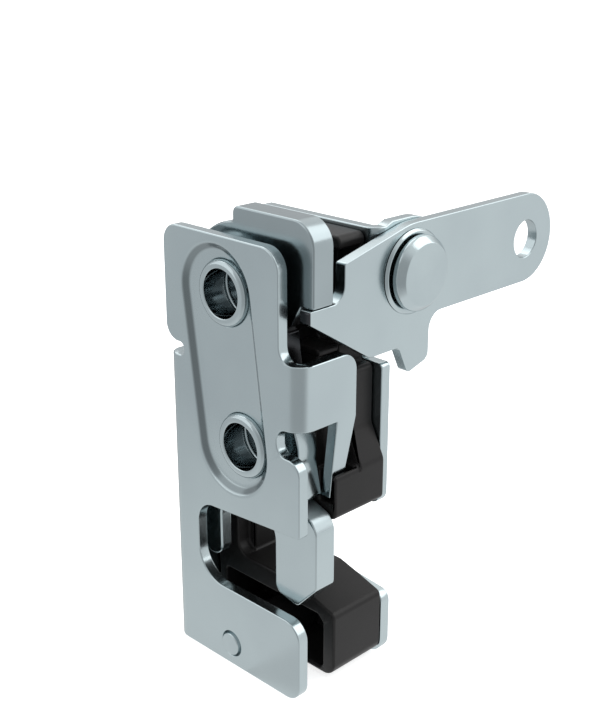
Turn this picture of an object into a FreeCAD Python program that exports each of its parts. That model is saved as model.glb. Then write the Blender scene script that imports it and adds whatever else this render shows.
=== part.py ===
import FreeCAD, Part
import math
import os
import re
import Sketcher

# Rotary latch with a side trigger lever.
# Frame: X towards the mouth's opening, Y into the latch from the mounting face, Z up.
# The origin is the axis of the rotor's bush on the mounting face.

doc = FreeCAD.newDocument("RotaryLatch")
sheet = doc.addObject("Spreadsheet::Sheet", "Sizes")
sizes = {
    # Housing
    "sheetThickness": 2.1,  # steel sheet of the plates and the lever
    "housingDepth": 22.5,  # mounting face to the back plate's back
    "topReach": 34.55,  # rotor axis up to the housing's top
    "bottomReach": 42.64,  # rotor axis down to the housing's foot
    "leftReach": 17.8,  # rotor axis to the spine's outer face
    "rightReach": 13.7,  # rotor axis to the tab's outer face
    "pawlLeft": 4.0,  # pawl axis to the left of the rotor axis
    "pawlDrop": 9.45,  # housing's top down to the pawl axis
    "runningFit": 0.05,  # radial clearance of what turns
    "pressedFit": 0.02,  # radial clearance of what is riveted or pressed
    "seatGap": 0.1,  # gap between faces that lie together
    "runout": 1.0,  # how far a cut runs past a side

    # Mouth
    "mouthTop": 13.3,  # rotor axis down to the mouth's upper edge
    "mouthBottom": 27.9,  # rotor axis down to the mouth's lower edge
    "mouthReach": 11.1,  # rotor axis to the mouth's inner end
    "mouthUpperRound": 4.0,  # inner end's upper corner
    "mouthLowerRound": 6.0,  # inner end's lower corner
    "upperLipRound": 0.6,  # corner of the upper lip
    "lowerLipRound": 3.5,  # corner of the lower lip

    # Front plate
    "frontTopRight": 9.2,  # rotor axis to the right edge above the tab
    "topLeftRound": 3.2,  # upper left corner
    "topRightRound": 3.8,  # upper right corner
    "footRound": 3.0,  # lower right corner
    "spineTop": 12.3,  # rotor axis up to the bent spine's end
    "spineNotchHeight": 2.3,  # relief notch over the spine
    "spineNotchReach": 13.4,  # rotor axis to the notch's inner end
    "spineNotchRound": 1.1,  # notch's inner corners
    "spineShoulderRound": 2.8,  # corner over the notch
    "spineBendRound": 2.5,  # outer radius of the spine's bend
    "tabTop": 16.8,  # rotor axis up to the tab's top
    "tabBottom": 5.9,  # rotor axis up to the tab's bottom
    "tabDepth": 13.0,  # mounting face to the tab's far edge
    "tabRootRound": 2.6,  # inner corner over the tab
    "tabCornerRound": 3.0,  # tab's far upper corner
    "tabBendRound": 3.5,  # outer radius of the tab's bend
    "reliefHeight": 4.65,  # relief notch under the tab
    "reliefReach": 8.6,  # rotor axis to that notch's inner end
    "reliefRound": 2.0,  # that notch's inner corners
    "reliefLipRound": 2.5,  # corner under that notch
    "legFront": 8.6,  # mounting face to the leg's front edge
    "legLength": 14.0,  # leg below the tab
    "legInset": 1.6,  # how far the leg's tip is set inwards
    "legTipBack": 11.2,  # mounting face to the tip's back edge

    # Pressed recess of the front plate
    "recessUpperShift": 1.35,  # pawl axis to the upper round's axis, to the left
    "recessUpperDrop": 0.2,  # pawl axis down to the upper round's axis
    "recessLowerLeft": 1.9,  # lower round's axis left of the rotor axis
    "recessLowerDrop": 0.7,  # lower round's axis below the rotor axis
    "recessRadius": 8.35,  # radius of both rounds at the face
    "recessDepth": 1.1,  # how far the floor is pushed in
    "recessSlope": 50.0,  # lean of the recess's wall, in degrees
    "recessRimRound": 1.2,  # round over the recess's rim
    "recessFloorRound": 1.6,  # round at the foot of the recess's wall

    # Back plate
    "backMouthBottom": 28.5,  # rotor axis down to its mouth's lower edge
    "backInset": 1.2,  # tab's outer face to its right edge over the mouth
    "backShoulder": 12.25,  # rotor axis up to its shoulder
    "backNeck": 7.8,  # rotor axis to the neck under the flange
    "backNeckRound": 0.9,  # neck's inner corners
    "backLipRound": 2.0,  # corner of its upper lip
    "backLowerLipRound": 4.0,  # corner of its lower lip
    "flangeInset": 3.2,  # tab's outer face to the flange's outer face
    "flangeDrop": 8.2,  # lever axis down to the flange's lower edge
    "flangeBehind": 14.9,  # housing's back to the flange's far end
    "flangeRise": 0.65,  # housing's top up to the flange's top
    "flangeRiseEnd": 2.0,  # housing's back to the end of that rise
    "flangeRound": 8.3,  # far corners of the flange
    "flangeBendRound": 2.5,  # outer radius of the flange's bend

    # Bushes
    "boreDiameter": 8.1,  # screw bore
    "bushDiameter": 11.0,  # sleeve of each bush
    "bushRimChamfer": 0.9,  # chamfer round the rim that stands in the recess
    "bushJoint": 4.9,  # mounting face to the joint of the two bushes
    "bushJointGap": 0.2,  # gap at that joint
    "bushChamfer": 0.35,  # chamfer of the bore's ends
    "bushShoulderDiameter": 12.0,  # thick part of the rear bush

    # Rotor and pawl
    "moverFront": 3.8,  # mounting face to the rotor's and pawl's front
    "moverThickness": 4.4,  # rotor and pawl
    "rotorRadius": 9.8,  # rotor's round back
    "fingerLeft": 4.15,  # rotor axis to the finger's inner side
    "fingerRight": 13.8,  # rotor axis to the finger's outer side
    "fingerBottom": 26.4,  # rotor axis down to the finger's inner corner
    "fingerTip": 27.3,  # rotor axis down to the finger's tip
    "fingerTipRight": 9.4,  # rotor axis to the finger's tip
    "fingerChamferTop": 22.6,  # rotor axis down to the outer chamfer's start
    "fingerShoulder": 11.2,  # rotor axis down to the finger's outer shoulder
    "fingerShoulderRound": 2.5,  # round of that shoulder
    "fingerInnerRound": 2.0,  # round of the finger's inner corner
    "fingerCornerRound": 1.1,  # rounds of the finger's tip
    "fingerRootRight": 8.2,  # rotor axis to the end of the safety notch
    "fingerRoot": 9.25,  # rotor axis down to the end of the safety notch
    "slotCrotch": 12.5,  # rotor axis down to the striker slot's end
    "slotRound": 4.5,  # corners of the slot's end
    "lobeRight": 9.3,  # rotor axis to the inner lobe's slot side
    "lobeLeft": 14.4,  # rotor axis to the inner lobe's back
    "lobeBottom": 25.4,  # rotor axis down to the inner lobe's end
    "lobeShoulder": 12.0,  # rotor axis down to the inner lobe's shoulder
    "lobeRound": 2.4,  # rounds of the inner lobe
    "lobeShoulderRound": 4.0,  # round of its shoulder
    "lobeThickness": 2.4,  # thinned end of the inner lobe
    "lobeStep": 15.5,  # rotor axis down to the thinned end's step
    "cheekTop": 3.0,  # rotor axis up to the cheek's upper end
    "cheekTopRight": 9.3,  # rotor axis to the cheek's upper end
    "cheekMiddleRight": 9.75,  # rotor axis to the cheek's middle
    "cheekMiddle": 2.0,  # rotor axis down to the cheek's middle
    "cheekRight": 10.9,  # rotor axis to the cheek's lower end
    "cheekBottom": 8.1,  # rotor axis down to the cheek's lower end
    "cheekRound": 0.7,  # round of the cheek's lower end
    "toothRadius": 10.8,  # catch tooth's height
    "toothStart": 23.0,  # angle where the tooth's back rises
    "toothEnd": 41.0,  # angle where the catch face meets the round back
    "toothSlope": 5.0,  # angle that each flank takes
    "hubRadius": 11.0,  # pawl's round hub
    "armTop": 13.5,  # pawl axis up to the upper arm's top
    "armLeft": 1.0,  # pawl axis to the upper arm's left end
    "armEndRound": 1.2,  # round of that end
    "armRootRight": 5.5,  # pawl axis to the upper arm's root
    "armRootDrop": 8.8,  # pawl axis down to the arms' roots
    "noseRight": 17.0,  # pawl axis to the nose's outer face
    "noseLeft": 14.4,  # pawl axis to the nose's inner end
    "noseBottom": 0.1,  # pawl axis up to the nose's contact face
    "noseShoulderRound": 4.3,  # upper corner over the nose
    "noseRound": 0.5,  # corners of the nose
    "neckRight": 12.0,  # pawl axis to the waist under the nose
    "neckDrop": 3.6,  # pawl axis down to that waist
    "catchOuter": 11.3,  # pawl axis to the catch's outer side
    "catchInner": 9.4,  # pawl axis to the catch's inner corner
    "catchHeight": 8.9,  # rotor axis up to the catch's outer corner
    "catchTipHeight": 8.4,  # rotor axis up to the catch's inner corner
    "catchBackHeight": 10.4,  # rotor axis up to the catch's back
    "catchBack": 7.2,  # pawl axis to the catch's back
    "catchRound": 0.6,  # corners of the catch

    # Lever
    "leverAxisBehind": 4.8,  # housing's back to the lever's axis
    "leverAxisRise": 1.6,  # pawl axis up to the lever's axis
    "leverArmRise": 8.1,  # lever axis up to the long arm's top
    "leverArmDrop": 8.2,  # lever axis down to the long arm's underside
    "leverReach": 66.7,  # mounting face to the long arm's end
    "leverEndRound": 8.1,  # round of the long arm's end
    "eyeDiameter": 6.9,  # eye in the long arm
    "eyeInset": 7.9,  # long arm's end to the eye's axis
    "eyeDrop": 0.2,  # lever axis down to the eye's axis
    "slantTopFront": 0.8,  # top slant's upper end in front of the lever axis
    "slantRound": 14.0,  # round at the top slant's upper end
    "slantGap": 2.8,  # pawl's back to the top slant's lower end
    "slantRise": 4.4,  # lever axis up to the slant's lower end
    "shortArmFront": 3.2,  # mounting face to the short arm's end
    "ledgeDrop": 1.65,  # lever axis down to the ledge under the nose
    "ledgeRound": 2.6,  # inner corner of the ledge
    "shortArmDrop": 3.7,  # lever axis down to the short arm's lower corner
    "shortArmRound": 0.5,  # corners of the short arm
    "bellyDepth": 17.2,  # mounting face to the belly's corner
    "bellyDrop": 12.5,  # lever axis down to the lever's belly
    "bellyRound": 2.6,  # round of the belly's corner
    "hookRoot": 3.0,  # hook's root in front of the lever axis
    "hookTipFront": 0.6,  # hook's tip in front of the lever axis
    "hookDrop": 17.6,  # lever axis down to the hook's tip
    "hookBack": 4.7,  # lever axis to the hook's back
    "hookBackDrop": 16.1,  # lever axis down to the hook's back corner
    "hookRound": 1.0,  # round of the hook's tip
    "hookBackRound": 1.6,  # round of the hook's back corner
    "hookRootRound": 3.0,  # inner corner behind the hook

    # Rivets
    "leverRivetDiameter": 7.0,  # lever rivet's shank
    "leverRivetHeadDiameter": 12.7,  # lever rivet's head
    "leverRivetHead": 2.0,  # head's height
    "leverRivetHeadChamfer": 1.15,  # chamfer round the head
    "washerDiameter": 14.4,  # washer under the head
    "washerThickness": 0.55,  # washer
    "washerSlope": 0.45,  # how far the washer's side leans in
    "washerGap": 0.25,  # groove between the washer and the head's rim
    "headSeatDiameter": 10.6,  # head's seat on the washer
    "leverRivetTailDiameter": 8.8,  # formed tail
    "leverRivetTail": 1.5,  # tail's height
    "leverRivetTailChamfer": 0.7,  # tail's chamfer
    "footRivetLeft": 3.1,  # foot rivet left of the rotor axis
    "footRivetRise": 4.09,  # housing's foot up to the foot rivet's axis
    "footRivetDiameter": 4.7,  # ends of the foot rivet
    "footRivetShank": 5.6,  # foot rivet between the plates
    "footRivetProud": 0.35,  # how far each end stands out
    "footRivetChamfer": 0.5,  # chamfer of each end

    # Spacer body
    "spacerFront": 8.4,  # mounting face to the moulding's front
    "spacerStep": 14.4,  # mounting face to the inner step
    "spacerTopGap": 0.65,  # housing's top down to the moulding's top
    "spacerTopRight": 8.3,  # rotor axis to the upper part's side
    "spacerFootGap": 1.64,  # housing's foot up to the moulding's foot
    "spacerInset": 0.1,  # tab's outer face to the moulding's side
    "spacerWall": 2.6,  # left wall of the upper part
    "spacerWallDrop": 2.0,  # moulding's top down to that wall's top
    "spacerTopEdgeRound": 1.2,  # side edge of the moulding's top
    "topCoreLeft": 3.4,  # rotor axis to the top pocket's left wall
    "topCoreFloor": 16.3,  # rotor axis up to the top pocket's floor
    "topCoreRoof": 2.1,  # wall over the top pocket
    "topCoreBack": 19.1,  # mounting face to the top pocket's end
    "topCoreRound": 0.8,  # top pocket's corners
    "channelTop": 14.4,  # rotor axis down to the channel's ceiling
    "channelBottom": 26.7,  # rotor axis down to the channel's floor
    "channelReach": 10.2,  # rotor axis to the channel's inner end
    "channelMouth": 4.1,  # rotor axis to the flare's start
    "channelTopLip": 11.35,  # rotor axis down to the ceiling's outer end
    "channelKnee": 8.4,  # rotor axis to the floor's knee
    "channelKneeDrop": 27.9,  # rotor axis down to the floor's knee
    "channelBottomLip": 29.5,  # rotor axis down to the floor's outer end
    "channelRound": 2.5,  # corners of the channel
    "channelLipRound": 1.2,  # lips of the channel
    "bufferReach": 8.6,  # rotor axis to the buffer rib's face
    "bufferFront": 11.2,  # mounting face to the buffer rib
    "blockTop": 3.5,  # rotor axis down to the side block's top
    "blockInner": 9.0,  # rotor axis to the side block's inner end
    "postRight": 10.7,  # rotor axis to the post's side
    "postTop": 12.2,  # rotor axis up to the post's top
    "postFoot": 1.8,  # rotor axis up to the post's flare
    "postFlare": 3.9,  # rotor axis down to the flare's end
    "postRound": 2.5,  # rounds of the flare
    "bridgeTop": 13.0,  # rotor axis up to the bridge's top
    "bridgeRight": 7.0,  # rotor axis to the bridge's upper corner
    "bridgeRound": 1.0,  # corners of the bridge
    "springRoom": 7.7,  # radius of the room round the rotor's spring
    "boltRoom": 0.1,  # radial gap round the bushes and the rivet
    "legRoomInner": 9.9,  # rotor axis to the leg pocket's inner wall
    "legRoomWall": 0.65,  # wall outside the leg pocket
    "legRoomBack": 13.4,  # mounting face to the leg pocket's back
    "legRoomDepth": 5.4,  # depth of the leg pocket
    "coreLeft": 13.6,  # rotor axis to the foot pocket's left wall
    "coreWall": 1.8,  # moulding's side to the foot pocket's right wall
    "coreTop": 30.7,  # rotor axis down to the foot pocket's ceiling
    "coreFloor": 1.0,  # moulding's foot up to the foot pocket's floor
    "coreChamfer": 1.2,  # foot pocket's upper right corner
    "coreRound": 0.8,  # foot pocket's corners
    "coreBack": 18.0,  # mounting face to the foot pocket's end
    "coreBoss": 3.85,  # radius of the boss round the foot rivet

    # Springs
    "wireDiameter": 1.1,  # spring wire
    "coilRadius": 6.75,  # mean radius of the coils
    "coilDepth": 9.3,  # mounting face to the first turn
    "coilPitch": 1.25,  # pitch of the turns
    "coilTurns": 2.5,  # turns
    "wireSides": 6,  # flats that stand for the round wire
    "firstLegLength": 6.6,  # leg towards the moving piece
    "lastLegLength": 6.2,  # leg towards the moulding
}
for row, (alias, value) in enumerate(sizes.items(), 1):
    sheet.set(f"A{row}", alias)
    sheet.set(f"B{row}", str(value))
    sheet.setAlias(f"B{row}", alias)
doc.recompute()

# Places that several pieces share.
places = {
    "pawlHeight": "topReach - pawlDrop",
    "leverAxisHeight": "pawlHeight + leverAxisRise",
    "leverAxisDepth": "housingDepth + leverAxisBehind",
    "moverBack": "moverFront + moverThickness",
    "backSheetFront": "housingDepth - sheetThickness",
    "flangeBottom": "leverAxisHeight - flangeDrop",
    "spacerTop": "topReach - spacerTopGap",
    "coilEnd": "coilDepth + coilPitch * coilTurns",
    "spacerRight": "rightReach - spacerInset",
    "spacerBottom": "bottomReach - spacerFootGap",
    "footRivetDrop": "bottomReach - footRivetRise",
    "flangeFace": "rightReach - flangeInset",
    "backRight": "rightReach - backInset",
    "washerFace": "flangeFace + sheetThickness + 2 * seatGap",
}
expressionFunctions = ("cos", "sin", "tan")


def bound(formula):
    # Turns a formula of sizes and places into one that the document can read.
    def named(word):
        text = word.group(0)
        if text in places:
            return f"({bound(places[text])})"
        return text if text in expressionFunctions else "Sizes." + text
    return re.sub(r"(?<![\w.])[A-Za-z]\w*", named, formula)


def number(formula):
    value = sheet.evalExpression(bound(formula))
    return float(getattr(value, "Value", value))


def newPiece(name, left="0", depth="0", height="0"):
    piece = doc.addObject("PartDesign::Body", name)
    piece.Label = name
    piece.setExpression(".Placement.Base.x", bound(f"-({left})"))
    piece.setExpression(".Placement.Base.y", bound(depth))
    piece.setExpression(".Placement.Base.z", bound(height))
    return piece


def originPart(piece, role):
    return next(part for part in piece.Origin.OriginFeatures if part.Role == role)


def newSketch(piece, name, plane, offset="0"):
    sketch = piece.newObject("Sketcher::SketchObject", name)
    sketch.AttachmentSupport = (originPart(piece, plane), [""])
    sketch.MapMode = "FlatFace"
    sketch.setExpression(".AttachmentOffset.Base.z", bound(offset))
    return sketch


def addOutline(sketch, corners):
    # A corner is (x, y) or (x, y, radius), each a formula. Rounded corners are tangent arcs.
    count = len(corners)
    points = [FreeCAD.Vector(number(corner[0]), number(corner[1]), 0) for corner in corners]
    entries = list(points)
    exits = list(points)
    arcs = {}
    for index, corner in enumerate(corners):
        if len(corner) < 3:
            continue
        point = points[index]
        before = (points[index - 1] - point).normalize()
        after = (points[(index + 1) % count] - point).normalize()
        half = before.getAngle(after) / 2
        radius = number(corner[2])
        centre = point + (before + after).normalize() * (radius / math.sin(half))
        entries[index] = point + before * (radius / math.tan(half))
        exits[index] = point + after * (radius / math.tan(half))
        turnsLeft = before.cross(after).z < 0
        first, last = entries[index], exits[index]
        if not turnsLeft:
            first, last = last, first
        startAngle = math.atan2(first.y - centre.y, first.x - centre.x)
        endAngle = math.atan2(last.y - centre.y, last.x - centre.x)
        if endAngle < startAngle:
            endAngle += 2 * math.pi
        circle = Part.Circle(centre, FreeCAD.Vector(0, 0, 1), radius)
        arcs[index] = (Part.ArcOfCircle(circle, startAngle, endAngle), radius, turnsLeft)

    offset = len(sketch.Geometry)
    lines = [Part.LineSegment(exits[index], entries[(index + 1) % count]) for index in range(count)]
    sketch.addGeometry(lines, False)
    constraints = []
    formulas = {}

    def bind(constraint, formula):
        formulas[len(constraints)] = formula
        constraints.append(constraint)

    for index, corner in enumerate(corners):
        before = offset + (index - 1) % count
        after = offset + index
        if index in arcs:
            shape, radius, turnsLeft = arcs[index]
            arc = sketch.addGeometry(shape, False)
            mark = sketch.addGeometry(Part.Point(points[index]), True)
            first, last = (1, 2) if turnsLeft else (2, 1)
            constraints.append(Sketcher.Constraint("Tangent", before, 2, arc, first))
            constraints.append(Sketcher.Constraint("Tangent", arc, last, after, 1))
            constraints.append(Sketcher.Constraint("PointOnObject", mark, 1, before))
            constraints.append(Sketcher.Constraint("PointOnObject", mark, 1, after))
            bind(Sketcher.Constraint("Radius", arc, radius), corner[2])
        else:
            mark = after
            constraints.append(Sketcher.Constraint("Coincident", before, 2, after, 1))
        bind(Sketcher.Constraint("DistanceX", -1, 1, mark, 1, points[index].x), corner[0])
        bind(Sketcher.Constraint("DistanceY", -1, 1, mark, 1, points[index].y), corner[1])

    start = len(sketch.Constraints)
    sketch.addConstraint(constraints)
    for index, formula in formulas.items():
        sketch.setExpression(f"Constraints[{start + index}]", bound(formula))


def addCircle(sketch, x, y, radius):
    centre = FreeCAD.Vector(number(x), number(y), 0)
    circle = sketch.addGeometry(Part.Circle(centre, FreeCAD.Vector(0, 0, 1), number(radius)), False)
    start = len(sketch.Constraints)
    sketch.addConstraint([
        Sketcher.Constraint("DistanceX", -1, 1, circle, 3, centre.x),
        Sketcher.Constraint("DistanceY", -1, 1, circle, 3, centre.y),
        Sketcher.Constraint("Radius", circle, number(radius)),
    ])
    for index, formula in enumerate((x, y, radius)):
        sketch.setExpression(f"Constraints[{start + index}]", bound(formula))


def addBelt(sketch, upper, lower, radius):
    # Outline of a belt round two equal rounds, each centre given as (x, y).
    top = FreeCAD.Vector(number(upper[0]), number(upper[1]), 0)
    bottom = FreeCAD.Vector(number(lower[0]), number(lower[1]), 0)
    reach = number(radius)
    along = (top - bottom).normalize()
    side = FreeCAD.Vector(-along.y, along.x, 0) * reach
    angle = math.atan2(side.y, side.x)
    axis = FreeCAD.Vector(0, 0, 1)
    sketch.addGeometry([
        Part.LineSegment(top + side, bottom + side),
        Part.ArcOfCircle(Part.Circle(bottom, axis, reach), angle, angle + math.pi),
        Part.LineSegment(bottom - side, top - side),
        Part.ArcOfCircle(Part.Circle(top, axis, reach), angle - math.pi, angle),
    ], False)
    sketch.addConstraint([
        Sketcher.Constraint("Tangent", 0, 2, 1, 1),
        Sketcher.Constraint("Tangent", 1, 2, 2, 1),
        Sketcher.Constraint("Tangent", 2, 2, 3, 1),
        Sketcher.Constraint("Tangent", 3, 2, 0, 1),
        Sketcher.Constraint("Equal", 1, 3),
        Sketcher.Constraint("DistanceX", -1, 1, 1, 3, bottom.x),
        Sketcher.Constraint("DistanceY", -1, 1, 1, 3, bottom.y),
        Sketcher.Constraint("DistanceY", -1, 1, 3, 3, top.y),
        Sketcher.Constraint("Radius", 1, reach),
    ])
    bindings = {5: lower[0], 6: lower[1], 7: upper[1], 8: radius}
    sketch.addConstraint(Sketcher.Constraint("DistanceX", -1, 1, 3, 3, top.x))
    bindings[len(sketch.Constraints) - 1] = upper[0]
    for index, formula in bindings.items():
        sketch.setExpression(f"Constraints[{index}]", bound(formula))


def pad(piece, name, sketch, length, reverse):
    feature = piece.newObject("PartDesign::Pad", name)
    feature.Profile = sketch
    feature.Refine = True
    feature.Reversed = reverse
    feature.setExpression("Length", bound(length))
    return feature


def pocket(piece, name, sketch, length, reverse=False):
    before = piece.Tip
    doc.recompute()
    volume = before.Shape.Volume
    feature = piece.newObject("PartDesign::Pocket", name)
    feature.Profile = sketch
    feature.Refine = True
    feature.Reversed = reverse
    feature.setExpression("Length", bound(length))
    doc.recompute()
    if feature.Shape.Volume > volume - 0.01:
        raise RuntimeError(f"{piece.Label}: {name} cuts nothing")
    return feature


def slab(piece, name, corners, front, back):
    # A flat piece between two depths, drawn as seen from the mounting face.
    sketch = newSketch(piece, name + "Outline", "XZ_Plane", f"-({front})")
    addOutline(sketch, corners)
    return pad(piece, name, sketch, f"{back} - ({front})", True)


def disc(piece, name, x, z, radius, front, back):
    sketch = newSketch(piece, name + "Circle", "XZ_Plane", f"-({front})")
    addCircle(sketch, x, z, radius)
    return pad(piece, name, sketch, f"{back} - ({front})", True)


def cutSlab(piece, name, corners, front, back):
    sketch = newSketch(piece, name + "Outline", "XZ_Plane", f"-({front})")
    addOutline(sketch, corners)
    return pocket(piece, name, sketch, f"{back} - ({front})")


def cutDisc(piece, name, x, z, radius, front, back):
    sketch = newSketch(piece, name + "Circle", "XZ_Plane", f"-({front})")
    addCircle(sketch, x, z, radius)
    return pocket(piece, name, sketch, f"{back} - ({front})")


def sidePlate(piece, name, corners, inner, outer):
    # A flat piece that faces the mouth's side, drawn with depth to the right.
    sketch = newSketch(piece, name + "Outline", "YZ_Plane", inner)
    addOutline(sketch, corners)
    return pad(piece, name, sketch, f"{outer} - ({inner})", False)


def turned(piece, name, corners, axis):
    # A turned piece: its half section stands on the axis of the given role.
    plane = "YZ_Plane" if axis == "Y_Axis" else "XZ_Plane"
    sketch = newSketch(piece, name + "Section", plane)
    addOutline(sketch, corners)
    feature = piece.newObject("PartDesign::Revolution", name)
    feature.Profile = sketch
    feature.ReferenceAxis = (originPart(piece, axis), [""])
    feature.Angle = 360
    return feature


def near(value, target):
    return abs(value - target) < 0.001


def roundEdges(piece, name, radius, wanted):
    # Rounds the edges whose bounding box passes the test.
    doc.recompute()
    base = piece.Tip
    names = [
        f"Edge{index}" for index, edge in enumerate(base.Shape.Edges, 1)
        if wanted(edge.BoundBox)
    ]
    if not names:
        raise RuntimeError(f"{piece.Label}: {name} finds no edge")
    feature = piece.newObject("PartDesign::Fillet", name)
    feature.Base = (base, names)
    feature.setExpression("Radius", bound(radius))
    doc.recompute()
    if feature.Shape.isNull() or not feature.Shape.isValid():
        raise RuntimeError(f"{piece.Label}: {name} fails")
    return feature


def inFlatFace(depth):
    level = number(depth)
    return lambda box: near(box.YMin, level) and near(box.YMax, level)


def uprightAt(x, y, bottom, top):
    across, depth, low, high = number(x), number(y), number(bottom), number(top)
    return lambda box: (
        near(box.XMin, across) and near(box.XMax, across)
        and near(box.YMin, depth) and near(box.YMax, depth)
        and near(box.ZMin, low) and near(box.ZMax, high)
    )


# The mouth is the same cut-out in both plates, apart from its lower edge.
def mouthCorners(right, lowerEdge, lowerLip, upperLip):
    return [
        (right, f"-{lowerEdge}", lowerLip),
        ("-mouthReach", f"-{lowerEdge}", "mouthLowerRound"),
        ("-mouthReach", "-mouthTop", "mouthUpperRound"),
        (upperLip[0], "-mouthTop", upperLip[1]),
    ]


def makeFrontPlate():
    plate = newPiece("front_plate")
    notchTop = "spineTop + spineNotchHeight"
    reliefBottom = "tabBottom - reliefHeight"
    slab(plate, "Sheet", [
        ("-leftReach", "topReach", "topLeftRound"),
        ("-leftReach", notchTop, "spineShoulderRound"),
        ("-spineNotchReach", notchTop, "spineNotchRound"),
        ("-spineNotchReach", "spineTop", "spineNotchRound"),
        ("-leftReach", "spineTop"),
        ("-leftReach", "-bottomReach"),
        ("rightReach", "-bottomReach", "footRound"),
        *mouthCorners("rightReach", "mouthBottom", "lowerLipRound", ("rightReach", "upperLipRound")),
        ("rightReach", reliefBottom, "reliefLipRound"),
        ("reliefReach", reliefBottom, "reliefRound"),
        ("reliefReach", "tabBottom", "reliefRound"),
        ("rightReach", "tabBottom"),
        ("rightReach", "tabTop"),
        ("frontTopRight", "tabTop", "tabRootRound"),
        ("frontTopRight", "topReach", "topRightRound"),
    ], "0", "sheetThickness")

    # The spine and the tab are bent back from the sheet.
    spineInside = "sheetThickness - leftReach"
    tabInside = "rightReach - sheetThickness"
    slab(plate, "Spine", [
        ("-leftReach", "spineTop"),
        ("-leftReach", "-bottomReach"),
        (spineInside, "-bottomReach"),
        (spineInside, "spineTop"),
    ], "0", "housingDepth")
    slab(plate, "Tab", [
        (tabInside, "tabBottom"),
        ("rightReach", "tabBottom"),
        ("rightReach", "tabTop"),
        (tabInside, "tabTop"),
    ], "0", "tabDepth")
    spineEnds = ("-bottomReach", "spineTop")
    tabEnds = ("tabBottom", "tabTop")
    roundEdges(plate, "SpineBend", "spineBendRound", uprightAt("-leftReach", "0", *spineEnds))
    roundEdges(plate, "TabBend", "tabBendRound", uprightAt("rightReach", "0", *tabEnds))
    roundEdges(plate, "SpineBendInside", "spineBendRound - sheetThickness",
               uprightAt(spineInside, "sheetThickness", *spineEnds))
    roundEdges(plate, "TabBendInside", "tabBendRound - sheetThickness",
               uprightAt(tabInside, "sheetThickness", *tabEnds))
    roundEdges(plate, "TabCorner", "tabCornerRound",
               lambda box: near(box.YMin, number("tabDepth")) and near(box.YMax, number("tabDepth"))
               and near(box.ZMin, number("tabTop")) and near(box.ZMax, number("tabTop")))

    # The leg hangs from the tab's far half, set inwards and tapered at its back edge.
    slab(plate, "Leg", [
        (tabInside, "tabBottom"),
        (f"{tabInside} - legInset", "tabBottom - legLength"),
        ("rightReach - legInset", "tabBottom - legLength"),
        ("rightReach", "tabBottom"),
    ], "legFront", "tabDepth")
    taper = newSketch(plate, "LegTaperOutline", "YZ_Plane", "rightReach")
    addOutline(taper, [
        ("tabDepth", "tabBottom"),
        ("legTipBack", "tabBottom - legLength"),
        ("tabDepth + sheetThickness", "tabBottom - legLength"),
        ("tabDepth + sheetThickness", "tabBottom"),
    ])
    pocket(plate, "LegTaper", taper, "rightReach - reliefReach")

    # The recess is pressed in, so the back stands out behind it.
    wallSpread = "(1 / cos(recessSlope) - tan(recessSlope))"
    upper = ("-pawlLeft - recessUpperShift", "pawlHeight - recessUpperDrop")
    lower = ("-recessLowerLeft", "-recessLowerDrop")
    raised = newSketch(plate, "RaisedBackOutline", "XZ_Plane", "-sheetThickness")
    addBelt(raised, upper, lower, f"recessRadius + sheetThickness * {wallSpread}")
    raisedBack = pad(plate, "RaisedBack", raised, "recessDepth", True)
    raisedBack.setExpression("TaperAngle", bound("-recessSlope"))
    recess = newSketch(plate, "RecessOutline", "XZ_Plane")
    addBelt(recess, upper, lower, "recessRadius")
    pressed = pocket(plate, "Recess", recess, "recessDepth")
    pressed.setExpression("TaperAngle", bound("-recessSlope"))
    doc.recompute()
    face = next(face for face in plate.Tip.Shape.Faces
                if near(face.BoundBox.YMin, 0) and near(face.BoundBox.YMax, 0))
    rim = [edge for wire in face.Wires if not wire.isSame(face.OuterWire) for edge in wire.Edges]
    roundEdges(plate, "RecessFloorRound", "recessFloorRound", inFlatFace("recessDepth"))
    roundEdges(plate, "RecessRimRound", "recessRimRound",
               lambda box: any(box.Center.isEqual(edge.BoundBox.Center, 0.001) for edge in rim)
               and near(box.YMax, 0))

    seat = "bushDiameter / 2 + pressedFit"
    floor = "sheetThickness + recessDepth"
    cutDisc(plate, "RotorBushHole", "0", "0", seat, "0", floor)
    cutDisc(plate, "PawlBushHole", "-pawlLeft", "pawlHeight", seat, "0", floor)
    cutFootHole(plate, "0", "sheetThickness")
    return plate


def cutFootHole(plate, front, back):
    cutDisc(plate, "FootHole", "-footRivetLeft", "-footRivetDrop",
            "footRivetDiameter / 2 + pressedFit", front, back)


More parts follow.
